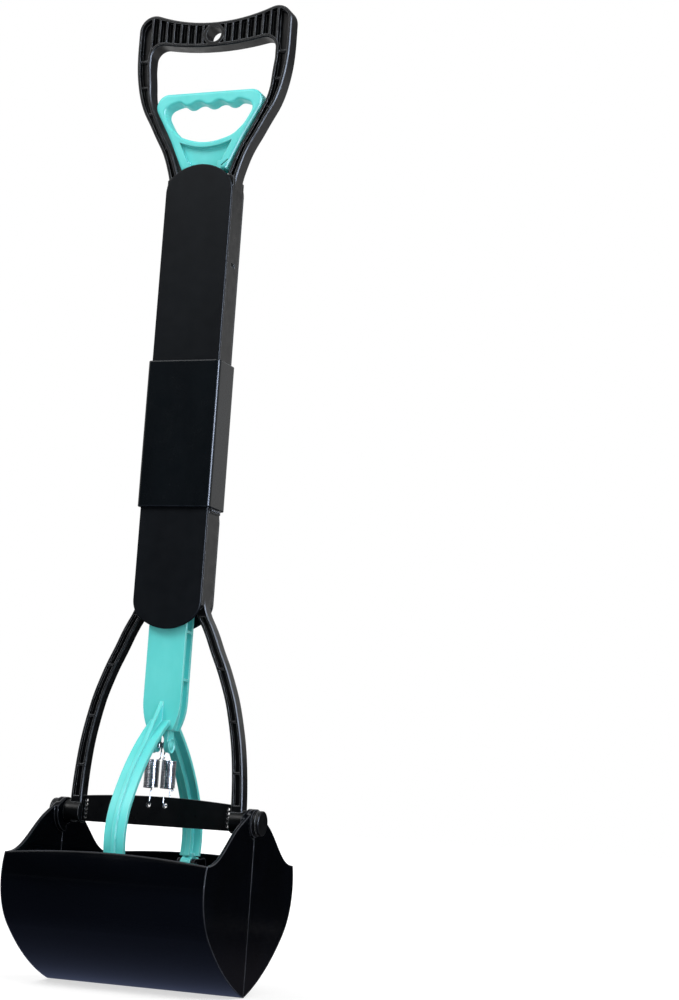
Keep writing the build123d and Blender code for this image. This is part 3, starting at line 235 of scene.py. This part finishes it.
finishes = {
    coverPlastic: ["upper_front_cover", "upper_back_cover", "lower_front_cover", "lower_back_cover"],
    bodyPlastic: ["handle_frame", "lower_frame", "crossbar", "left_pivot_pin", "right_pivot_pin"],
    sleevePlastic: ["lock_sleeve"],
    jawPlastic: ["front_jaw", "rear_jaw"],
    tealPlastic: ["lower_pull_bar", "upper_pull_bar", "pull_handle"],
    pinSteel: ["left_fold_pin", "right_fold_pin", "link_pin", "hanger_pin", "handle_rivet",
               "front_lug_pin", "rear_lug_pin"],
    zincWire: ["left_spring", "right_spring"],
}
for finish, names in finishes.items():
    for name in names:
        mesh = nodes[name].data
        if not mesh.materials:
            mesh.materials.append(finish)
        for slot in nodes[name].material_slots:
            slot.material = finish
print("materials assigned")


def addSockets(tree, wanted, result):  # gives the identifiers of a tree's inputs by name
    found = {}
    for name, kind in wanted.items():
        socket = tree.interface.new_socket(name, in_out="INPUT", socket_type="NodeSocket" + kind)
        found[name] = socket.identifier
    tree.interface.new_socket(result, in_out="OUTPUT", socket_type="NodeSocketGeometry")
    return found


def grown(piece, tree, values):  # applies a Geometry Nodes tree to a piece and leaves a plain mesh
    modifier = piece.modifiers.new("grow", "NODES")
    modifier.node_group = tree
    for identifier, value in values.items():
        modifier[identifier] = value
    bpy.context.view_layer.update()
    shape = piece.evaluated_get(bpy.context.evaluated_depsgraph_get())
    mesh = bpy.data.meshes.new_from_object(shape)
    piece.modifiers.remove(modifier)
    piece.data = mesh
    return piece


# Geometry Nodes tree: a wire of a given thickness along the object's own line
def wireTree():
    tree = bpy.data.node_groups.new("wire along line", "GeometryNodeTree")
    wanted = {"Line": "Geometry", "Wire Radius": "Float", "Facets": "Int", "Finish": "Material"}
    sockets = addSockets(tree, wanted, "Wire")
    start = addNode(tree, "NodeGroupInput", (0, 0))
    toCurve = addNode(tree, "GeometryNodeMeshToCurve", (1, 0))
    ring = addNode(tree, "GeometryNodeCurvePrimitiveCircle", (1, -1))
    sweep = addNode(tree, "GeometryNodeCurveToMesh", (2, 0))
    sweep.inputs["Fill Caps"].default_value = True
    real = addNode(tree, "GeometryNodeRealizeInstances", (3, 0))
    paint = addNode(tree, "GeometryNodeSetMaterial", (4, 0))
    end = addNode(tree, "NodeGroupOutput", (5, 0))
    tree.links.new(start.outputs["Line"], toCurve.inputs["Mesh"])
    tree.links.new(start.outputs["Wire Radius"], ring.inputs["Radius"])
    tree.links.new(start.outputs["Facets"], ring.inputs["Resolution"])
    tree.links.new(toCurve.outputs["Curve"], sweep.inputs["Curve"])
    tree.links.new(ring.outputs["Curve"], sweep.inputs["Profile Curve"])
    tree.links.new(sweep.outputs["Mesh"], real.inputs["Geometry"])
    tree.links.new(real.outputs["Geometry"], paint.inputs["Geometry"])
    tree.links.new(start.outputs["Finish"], paint.inputs["Material"])
    tree.links.new(paint.outputs["Geometry"], end.inputs["Wire"])
    return tree, sockets


# Close-wound springs between the holes in the crossbar and the pin of the fork. Lengths are in mm,
# and wire is the wire's radius. hookTurn, by side with -1 for the left spring, and kneeTurn are in
# degrees. The knee is where the lower leg meets the first turn, and the neck is where the last
# turn leaves for the pin
springSizes = {
    "wire": 0.5, "facets": 14, "stepsPerTurn": 26, "bend": 0.9,
    "coilRadius": 4.8, "coilFoot": 136.8, "coilHead": 156.2, "turns": 18.5, "coilPlace": 6.5,
    "hole": 6.4, "holeHeight": 124.9, "hookLow": 2.4, "tail": 3.6, "hookTurn": {-1: -18, 1: 38},
    "kneeDrop": 1.5, "kneeRise": 0.4, "kneeTurn": 5,
    "neckIn": 0.3, "neckAside": 1.5, "neckRise": 0.7, "neckTop": 1.6,
    "pinHeight": 166.5, "hookHigh": 2.2, "upperPlace": 1.3, "upperTail": 2.2,
}


def bentRun(corners, radius, steps=5):  # the run through the corners, each corner rounded
    points = [corners[0]]
    for before, corner, after in zip(corners, corners[1:], corners[2:]):
        into = corner + (before - corner).normalized() * min(radius, (before - corner).length / 2)
        out = corner + (after - corner).normalized() * min(radius, (after - corner).length / 2)
        for step in range(steps + 1):
            t = step / steps
            points.append(into * (1 - t) ** 2 + corner * 2 * t * (1 - t) + out * t ** 2)
    return points + [corners[-1]]


def hookArc(centre, radius, turn, start, end, steps=16):  # 0 is the front, 90 the foot, 180 the back
    points = []
    for step in range(steps + 1):
        angle = math.radians(start + (end - start) * step / steps)
        out = -radius * math.cos(angle)
        down = -radius * math.sin(angle)
        points.append(centre + Vector((out * math.sin(turn), out * math.cos(turn), down)))
    return points


def coilPoint(axis, radius, angle, height):
    return Vector((axis + radius * math.cos(angle), radius * math.sin(angle), height))


def springLine(side, sizes):  # points of the wire's middle line, in metres
    axis = side * sizes["coilPlace"]
    radius = sizes["coilRadius"]
    foot, head = sizes["coilFoot"], sizes["coilHead"]
    turn = math.radians(sizes["hookTurn"][side])
    eye = Vector((side * sizes["hole"], 0, sizes["holeHeight"] + sizes["hookLow"]))
    low = hookArc(eye, sizes["hookLow"], turn, 0, 180)
    points = [low[0] + Vector((0, 0, sizes["tail"]))] + low
    legFoot = low[-1]
    first = math.atan2(legFoot.y, legFoot.x - axis)
    start = coilPoint(axis, radius, first, foot)
    knee = Vector((legFoot.x, legFoot.y, foot - sizes["kneeDrop"]))
    met = Vector((start.x, start.y, knee.z + sizes["kneeRise"]))
    turned = math.radians(sizes["kneeTurn"])
    after = coilPoint(axis, radius, first + turned, foot)
    points += bentRun([legFoot, knee, met, after], sizes["bend"])[1:]
    last = math.pi if side > 0 else 0.0  # the coil ends on the side of the other spring
    part = (last - first) % (2 * math.pi)
    whole = math.floor(sizes["turns"] - part / (2 * math.pi))
    sweep = whole * 2 * math.pi + part
    count = round(sweep / (2 * math.pi) * sizes["stepsPerTurn"])
    for step in range(1, count + 1):
        angle = first + turned + (sweep - turned) * step / count
        points.append(coilPoint(axis, radius, angle, foot + (head - foot) * step / count))
    pin = Vector((side * sizes["upperPlace"], 0, sizes["pinHeight"]))
    high = hookArc(pin, sizes["hookHigh"], 0, 180, 360)
    neckX = axis + (radius - sizes["neckIn"]) * math.cos(last)
    neck = Vector((neckX, -side * sizes["neckAside"], head + sizes["neckRise"]))
    top = Vector((pin.x, high[0].y, head + sizes["neckTop"]))
    points += bentRun([points[-1], neck, top, high[0]], sizes["bend"])[1:]
    points += high[1:] + [high[-1] - Vector((0, 0, sizes["upperTail"]))]
    return [tuple(point * mm) for point in points]


wireNodes, wireSockets = wireTree()
for side, node in ((-1, "left_spring"), (1, "right_spring")):
    line = springLine(side, springSizes)
    mesh = bpy.data.meshes.new(node + "Line")
    mesh.from_pydata(line, [(i, i + 1) for i in range(len(line) - 1)], [])
    spring = addPiece(("left" if side < 0 else "right") + "Spring", mesh)
    grown(spring, wireNodes, {
        wireSockets["Wire Radius"]: springSizes["wire"] * mm,
        wireSockets["Facets"]: springSizes["facets"],
        wireSockets["Finish"]: zincWire})
    for face in spring.data.polygons:
        face.use_smooth = len(face.vertices) < 5  # the end caps stay flat
    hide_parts(node)
    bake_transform(spring)
    print(spring.name, "triangles", sum(len(f.vertices) - 2 for f in spring.data.polygons))


# Teeth on the ledges that the sleeve stops on, one row on each side of the lower body, in mm.
# A tooth is a block with three quarters of its depth in the ledge. Its outer face, the one that
# looks along X by more than the cosine facing, is pushed out by stand and tapered
teethSizes = {"count": 5, "pitch": 3.1, "wide": 1.7, "tall": 1.7, "block": 0.5, "stand": 0.45,
              "top": 334.2, "face": 27.8, "taper": 0.55, "facing": 0.9}


# Geometry Nodes tree: a row of tapered teeth along Y, standing out along X
def toothTree(sizes):
    tree = bpy.data.node_groups.new("row of teeth", "GeometryNodeTree")
    wanted = {"Count": "Int", "Pitch": "Float", "Size": "Vector", "Stand": "Float", "Place": "Vector",
              "Finish": "Material"}
    sockets = addSockets(tree, wanted, "Teeth")
    start = addNode(tree, "NodeGroupInput", (0, 0))
    step = addNode(tree, "ShaderNodeCombineXYZ", (1, 1))
    row = addNode(tree, "GeometryNodeMeshLine", (2, 1))
    tooth = addNode(tree, "GeometryNodeMeshCube", (1, -1))
    normal = addNode(tree, "GeometryNodeInputNormal", (1, -3))
    turn = addNode(tree, "ShaderNodeVectorMath", (2, -3), operation="DOT_PRODUCT")
    turn.inputs[1].default_value = (1, 0, 0)
    outer = addNode(tree, "FunctionNodeCompare", (3, -3), data_type="FLOAT", operation="GREATER_THAN")
    outer.inputs["B"].default_value = sizes["facing"]
    rise = addNode(tree, "ShaderNodeCombineXYZ", (3, -2))
    push = addNode(tree, "GeometryNodeExtrudeMesh", (4, -1))
    taper = addNode(tree, "GeometryNodeScaleElements", (5, -1))
    taper.inputs["Scale"].default_value = sizes["taper"]
    copy = addNode(tree, "GeometryNodeInstanceOnPoints", (6, 0))
    real = addNode(tree, "GeometryNodeRealizeInstances", (7, 0))
    move = addNode(tree, "GeometryNodeTransform", (8, 0))
    paint = addNode(tree, "GeometryNodeSetMaterial", (9, 0))
    end = addNode(tree, "NodeGroupOutput", (10, 0))
    for source, output, target, entry in (
            (start, "Pitch", step, "Y"), (start, "Count", row, "Count"), (step, "Vector", row, "Offset"),
            (start, "Size", tooth, "Size"), (normal, "Normal", turn, 0), (turn, "Value", outer, "A"),
            (start, "Stand", rise, "X"), (tooth, "Mesh", push, "Mesh"),
            (outer, "Result", push, "Selection"), (rise, "Vector", push, "Offset"),
            (push, "Mesh", taper, "Geometry"), (push, "Top", taper, "Selection"),
            (row, "Mesh", copy, "Points"), (taper, "Geometry", copy, "Instance"),
            (copy, "Instances", real, "Geometry"), (real, "Geometry", move, "Geometry"),
            (start, "Place", move, "Translation"), (move, "Geometry", paint, "Geometry"),
            (start, "Finish", paint, "Material"), (paint, "Geometry", end, "Teeth")):
        tree.links.new(source.outputs[output], target.inputs[entry])
    return tree, sockets


toothNodes, toothSockets = toothTree(teethSizes)
for side, name in ((-1, "leftLedgeTeeth"), (1, "rightLedgeTeeth")):
    teeth = addPiece(name, bpy.data.meshes.new(name))
    sizes = teethSizes
    block = sizes["block"]
    firstTooth = ((sizes["face"] - block / 4) * mm, -sizes["pitch"] * (sizes["count"] - 1) / 2 * mm,
                  (sizes["top"] - sizes["tall"] / 2) * mm)
    grown(teeth, toothNodes, {
        toothSockets["Count"]: sizes["count"],
        toothSockets["Pitch"]: sizes["pitch"] * mm,
        toothSockets["Size"]: (block * mm, sizes["wide"] * mm, sizes["tall"] * mm),
        toothSockets["Stand"]: sizes["stand"] * mm,
        toothSockets["Place"]: firstTooth,
        toothSockets["Finish"]: bodyPlastic})
    if side < 0:
        teeth.data.transform(Matrix.Diagonal((-1, 1, 1, 1)))
        teeth.data.flip_normals()
    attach(teeth, "lower_body")
print("ledge teeth placed")


# Round boss with a raised rim outside each plate of the spring hanger, in mm
bossSizes = {"radius": 5.4, "rim": 0.9, "dish": 0.8, "thick": 2.1, "from": 5.6, "edge": 0.45,
             "height": 166.5, "pin": 2.3, "facets": 48}


def bossProfile(sizes):  # (out along X, radius) from the plate, round the rim and the dish, to the pin
    near, far, edge = sizes["from"], sizes["from"] + sizes["thick"], sizes["edge"]
    radius, dish, pin = sizes["radius"], sizes["radius"] - sizes["rim"], sizes["pin"]
    low = far - sizes["dish"]
    return [(near, 0), (near, radius - edge), (near, radius - edge / 2), (near + edge / 2, radius),
            (far - edge, radius), (far - edge / 3, radius - edge / 3), (far, radius - edge),
            (far, dish + edge / 3), (far - edge / 3, dish), (low + edge / 3, dish - edge / 3),
            (low, dish - edge), (low, pin + edge), (far - edge / 2, pin), (far - edge / 4, pin - edge),
            (far - edge / 4, 0)]


def spunRings(name, profile, facets, centre, side):  # the profile turned about X, in mm
    mesh = bpy.data.meshes.new(name)
    shape = bmesh.new()
    rings = []
    for out, radius in profile:
        ring = []
        for step in range(facets if radius > 0 else 1):
            angle = 2 * math.pi * step / facets
            ring.append(shape.verts.new((side * out * mm, (centre[0] + radius * math.cos(angle)) * mm,
                                         (centre[1] + radius * math.sin(angle)) * mm)))
        rings.append(ring)
    for inner, outer in zip(rings, rings[1:]):
        for step in range(facets):
            after = (step + 1) % facets
            if len(inner) == 1:
                shape.faces.new((inner[0], outer[after], outer[step]))
            elif len(outer) == 1:
                shape.faces.new((inner[step], inner[after], outer[0]))
            else:
                shape.faces.new((inner[step], inner[after], outer[after], outer[step]))
    bmesh.ops.recalc_face_normals(shape, faces=shape.faces)
    shape.to_mesh(mesh)
    shape.free()
    for face in mesh.polygons:
        face.use_smooth = True
    return addPiece(name, mesh)


for side, name in ((-1, "leftHangerBoss"), (1, "rightHangerBoss")):
    boss = spunRings(name, bossProfile(bossSizes), bossSizes["facets"], (0, bossSizes["height"]), side)
    boss.data.materials.append(tealPlastic)
    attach(boss, "fork")
print("hanger bosses placed")


def rectangle(x, y, z):  # corners of a rectangle that lies flat where z is one height, else stands
    if z[0] == z[1]:
        return [(x[0], y[0], z[0]), (x[1], y[0], z[0]), (x[1], y[1], z[0]), (x[0], y[1], z[0])]
    return [(x[0], y[0], z[0]), (x[1], y[0], z[0]), (x[1], y[0], z[1]), (x[0], y[0], z[1])]


def stagePiece(name, corners, material):
    mesh = bpy.data.meshes.new(name)
    mesh.from_pydata(corners, [], [(0, 1, 2, 3)])
    mesh.materials.append(material)
    piece = addPiece(name, mesh)
    return piece


def seenRay(tree, place):  # 1 for camera, glossy and transmission rays
    path = addNode(tree, "ShaderNodeLightPath", place)
    first = addNode(tree, "ShaderNodeMath", (place[0] + 1, place[1]), operation="MAXIMUM")
    second = addNode(tree, "ShaderNodeMath", (place[0] + 2, place[1]), operation="MAXIMUM")
    tree.links.new(path.outputs["Is Camera Ray"], first.inputs[0])
    tree.links.new(path.outputs["Is Glossy Ray"], first.inputs[1])
    tree.links.new(first.outputs["Value"], second.inputs[0])
    tree.links.new(path.outputs["Is Transmission Ray"], second.inputs[1])
    return second.outputs["Value"]


def fadeByDistance(tree, span, near, far):  # a value from near to far over a span from the part's foot
    where = addNode(tree, "ShaderNodeTexCoord", (-3, -2))
    away = addNode(tree, "ShaderNodeVectorMath", (-2, -2), operation="LENGTH")
    tree.links.new(where.outputs["Object"], away.inputs[0])
    return spread(tree, away.outputs["Value"], (-1, -2), span, (near, far), interpolation_type="SMOOTHSTEP")


# White studio. The floor keeps the part's soft shadow and goes to white away from it, in metres
stageLook = {"floor": "b9b9b9", "floorGlow": 0.62, "farGlow": 1.0, "fade": (0.5, 2.2), "ambient": 0.55,
             "reach": 8, "sink": 0.0004}
floorPaint = bpy.data.materials.new("white floor")
tree = emptyTree(floorPaint)
out = addNode(tree, "ShaderNodeOutputMaterial", (5, 0))
diffuse = addNode(tree, "ShaderNodeBsdfDiffuse", (2, 1))
diffuse.inputs["Color"].default_value = colour(stageLook["floor"])
glow = addNode(tree, "ShaderNodeEmission", (2, -1))
fade = fadeByDistance(tree, stageLook["fade"], stageLook["floorGlow"], stageLook["farGlow"])
tree.links.new(fade, glow.inputs["Strength"])
both = addNode(tree, "ShaderNodeAddShader", (3, -1))
pick = addNode(tree, "ShaderNodeMixShader", (4, 0))
tree.links.new(diffuse.outputs["BSDF"], both.inputs[0])
tree.links.new(glow.outputs["Emission"], both.inputs[1])
tree.links.new(seenRay(tree, (0, 3)), pick.inputs["Fac"])
tree.links.new(diffuse.outputs["BSDF"], pick.inputs[1])
tree.links.new(both.outputs["Shader"], pick.inputs[2])
tree.links.new(pick.outputs["Shader"], out.inputs["Surface"])
reach, sink = stageLook["reach"], stageLook["sink"]
stagePiece("floor", rectangle((-reach, reach), (-reach, reach), (-sink, -sink)), floorPaint)

world = bpy.data.worlds.new("white studio")
bpy.context.scene.world = world
tree = emptyTree(world)
out = addNode(tree, "ShaderNodeOutputWorld", (4, 0))
seen = addNode(tree, "ShaderNodeBackground", (2, 1))
light = addNode(tree, "ShaderNodeBackground", (2, -1))
light.inputs["Strength"].default_value = stageLook["ambient"]
pick = addNode(tree, "ShaderNodeMixShader", (3, 0))
for shader in (seen, light):
    shader.inputs["Color"].default_value = (1, 1, 1, 1)
tree.links.new(seenRay(tree, (-1, 3)), pick.inputs["Fac"])
tree.links.new(light.outputs["Background"], pick.inputs[1])
tree.links.new(seen.outputs["Background"], pick.inputs[2])
tree.links.new(pick.outputs["Shader"], out.inputs["Surface"])

# Studio cards that only reflections show: a dark side behind the camera, a blue sheet on the floor
# in front that is brightest near the jaws, dark ones low at the back, and a grey one high at the back
studioCards = {  # tone, strength near the part and far from it, and the card's span on each axis
    "darkSide": ("202020", 0.1, 0.1, (-4, 3.2), (-2.2, -2.2), (0.02, 2.6)),
    "blueSheet": ("a9b8ea", 0.62, 0.22, (-2, 2), (-2.2, 0), (0.0002, 0.0002)),
    "darkSheet": ("a09aa8", 0.4, 0.05, (-2, 2), (0, 0.7), (0.0002, 0.0002)),
    "darkBack": ("a0a0a4", 0.04, 0.04, (-1.4, 1.6), (0.7, 0.7), (0.001, 0.26)),
    "greyTop": ("d0d0d4", 0.35, 0.35, (-1.4, 1.6), (0.8, 0.8), (0.86, 1.6)),
}
cardFade = (0.1, 0.75)  # metres from the part's foot
for name, (tone, near, far, x, y, z) in studioCards.items():
    paint = bpy.data.materials.new(name + " paint")
    tree = emptyTree(paint)
    out = addNode(tree, "ShaderNodeOutputMaterial", (4, 0))
    shine = addNode(tree, "ShaderNodeEmission", (3, 0))
    shine.inputs["Color"].default_value = colour(tone)
    tree.links.new(fadeByDistance(tree, cardFade, near, far), shine.inputs["Strength"])
    tree.links.new(shine.outputs["Emission"], out.inputs["Surface"])
    card = stagePiece(name, rectangle(x, y, z), paint)
    for way in ("camera", "diffuse", "transmission", "shadow", "volume_scatter"):
        setattr(card, "visible_" + way, False)

# Lamps, in metres and watts. The rim lights the dark sides without a mirror image of itself, and
# the strip is seen only as the thin bright line on the right edges
lamps = {
    "key": {"at": (-1.1, -1.5, 2.1), "to": (0, 0, 0.4), "size": (1.2, 1.2), "power": 38},
    "fill": {"at": (1.7, -0.9, 1.5), "to": (0, 0, 0.4), "size": (1.0, 1.4), "power": 17},
    "rim": {"at": (0.9, 1.6, 1.5), "to": (0, 0, 0.4), "size": (1.0, 1.0), "power": 16, "diffuseOnly": True},
    "strip": {"at": (1.34, -0.66, 0.78), "to": (0, 0, 0.6), "size": (0.42, 1.5), "power": 190,
              "glossyOnly": True, "tint": "d5e4ff"},
}
for name, lamp in lamps.items():
    data = bpy.data.lights.new(name + "Lamp", "AREA")
    data.shape = "RECTANGLE"
    data.size, data.size_y = lamp["size"]
    data.energy = lamp["power"]
    data.color = colour(lamp.get("tint", "ffffff"))[:3]
    light = addPiece(name + "Lamp", data)
    light.location = lamp["at"]
    light.rotation_euler = (Vector(lamp["to"]) - Vector(lamp["at"])).to_track_quat("-Z", "Y").to_euler()
    light.visible_diffuse = not lamp.get("glossyOnly", False)
    light.visible_glossy = not lamp.get("diffuseOnly", False)

# The view of the photograph, as a plain lens without shift: metres, and the focal length in pixels
cameraView = {"place": (0.5999, -1.2507, 0.1299), "forward": (-0.3529, 0.9224, 0.1568),
              "up": (-0.0047, -0.1692, 0.9856), "focalPixels": 1947.0, "height": 1000, "sensor": 36.0,
              "clip": (0.01, 50)}
data = bpy.data.cameras.new("camera")
data.sensor_fit = "VERTICAL"
data.sensor_height = cameraView["sensor"]
data.sensor_width = cameraView["sensor"]
data.lens = cameraView["focalPixels"] * cameraView["sensor"] / cameraView["height"]
data.clip_start, data.clip_end = cameraView["clip"]
camera = addPiece("camera", data)
back = -Vector(cameraView["forward"]).normalized()
side = Vector(cameraView["up"]).cross(back).normalized()
turn = Matrix((side, back.cross(side), back)).transposed()
camera.matrix_world = Matrix.Translation(cameraView["place"]) @ turn.to_4x4()
bpy.context.scene.camera = camera
bpy.context.scene.view_settings.view_transform = "Standard"
print("stage, lamps and camera set")
